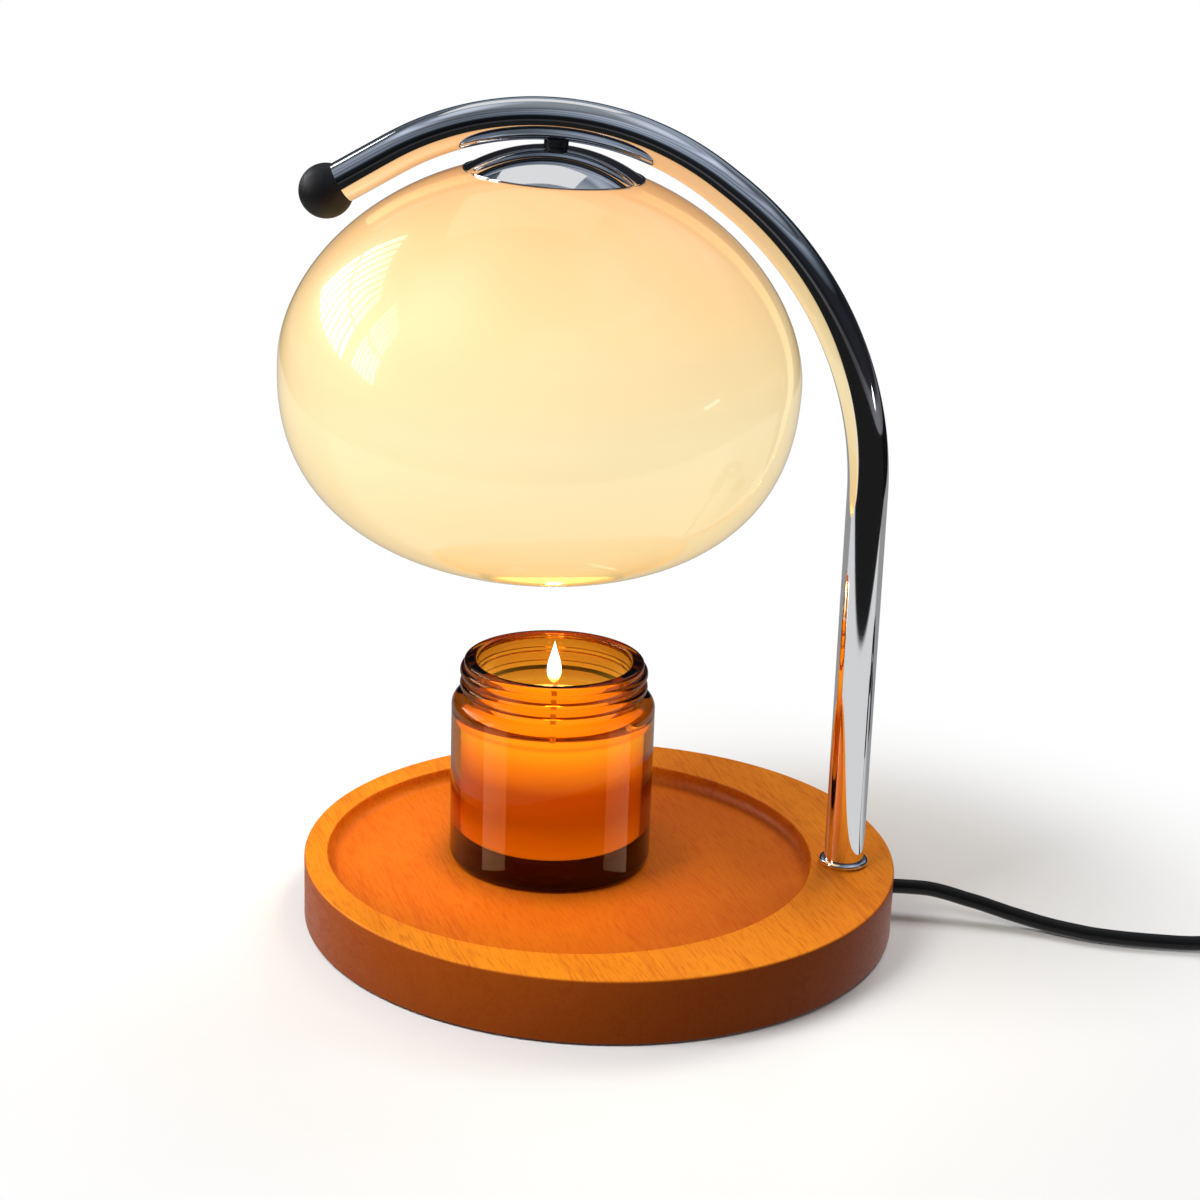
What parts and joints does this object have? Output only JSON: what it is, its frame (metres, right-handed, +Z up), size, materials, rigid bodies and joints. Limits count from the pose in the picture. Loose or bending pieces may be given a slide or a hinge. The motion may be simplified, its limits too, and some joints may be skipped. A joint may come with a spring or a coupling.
{
  "type": "candle warmer lamp",
  "caption": "Table lamp that warms a jar candle: round wooden base with a dish, bent chrome arm, hanging opal glass shade with a reflector bulb, inline dimmer and cord.",
  "frame": {"origin": "centre of the round base's underside, on the surface that the lamp stands on", "axes": "+Z up, +X from the base's centre to the arm's foot, +Y to the back; the shade hangs over -X of the foot and the front is -Y"},
  "size_m": [0.4506, 0.18, 0.2476],
  "materials": {
    "wood": "clear satin lacquer, fine straight grain",
    "steel_plate": "plain mild steel plate",
    "screw_steel": "zinc plated",
    "zinc_steel": "zinc plated",
    "cover_paint": "matt black powder coat",
    "foot_rubber": "fine textured rubber foam",
    "chrome": "mirror polished chrome",
    "ball_plastic": "gloss black",
    "black_plastic": "fine satin black",
    "plug_plastic": "moulded black",
    "wheel_plastic": "satin dark grey",
    "tie_plastic": "satin black",
    "dark_metal": "black oxide",
    "brass": "plain brass",
    "wire_plastic": "heat resistant insulation",
    "cord_rubber": "glossy black cord jacket",
    "opal_glass": "glossy opal glass, lit from inside",
    "silicone": "translucent silicone",
    "ceramic": "white glazed ceramic",
    "bulb_mirror": "aluminised glass",
    "bulb_glass": "clear front lens, lit",
    "amber_glass": "glossy amber glass",
    "wax": "soft satin wax, lit from above",
    "wick": "braided cotton, charred",
    "circuit_board": "solder mask"
  },
  "bodies": {
    "lamp": {"wood_base": "wood", "ballast_plate": "steel_plate", "ballast_screws": "screw_steel", "bottom_cover": "cover_paint", "cover_screws": "screw_steel", "non_slip_pad": "foot_rubber", "arm_tube": "chrome", "arm_collar": "chrome", "end_ball": "ball_plastic", "foot_nipple": "brass", "foot_washer": "zinc_steel", "foot_nut": "zinc_steel", "cord_grommet": "foot_rubber", "cord_inner_end": "cord_rubber", "cord_clamp": "black_plastic", "clamp_screws": "screw_steel", "arm_wires": "wire_plastic", "hanger_stud": "dark_metal", "hanger_nuts": "zinc_steel", "shade_cap": "chrome", "glass_shade": "opal_glass", "shade_gasket": "silicone", "carrier_plate": "zinc_steel", "holder_spacers": "zinc_steel", "holder_screws": "screw_steel", "lamp_holder": "ceramic", "supply_cord": "cord_rubber", "dimmer_case_bottom": "black_plastic", "dimmer_case_top": "black_plastic", "dimmer_board": "circuit_board", "dimmer_sleeves": "black_plastic", "dimmer_screws": "screw_steel", "coil_lead": "cord_rubber", "cord_coil": "cord_rubber", "cord_tie": "tie_plastic", "cord_tail": "cord_rubber", "plug_body": "plug_plastic", "plug_pins": "brass"},
    "bulb": {"bulb_reflector": "bulb_mirror", "bulb_lens": "bulb_glass", "bulb_pins": "brass"},
    "candle": {"candle_jar": "amber_glass", "candle_wax": "wax", "candle_wick": "wick", "wick_sustainer": "zinc_steel"},
    "thumb_wheel": {"dimmer_wheel": "wheel_plastic"}
  },
  "joints": [
    {"name": "bulb_twist", "type": "hinge", "parent": "lamp", "child": "bulb", "pos_m": [-0.01862, 0, 0.24154], "axis": [0.0436, 0, 0.999], "range_deg": [-20, 0]},
    {"name": "candle_lift", "type": "slide", "parent": "lamp", "child": "candle", "axis": [0, -0.9848, 0.1736], "range_m": [0, 0.2]},
    {"name": "thumb_wheel_turn", "type": "hinge", "parent": "lamp", "child": "thumb_wheel", "pos_m": [0.247, -0.007, 0.007], "axis": [0, 0, 1], "range_deg": [0, 270]}
  ]
}
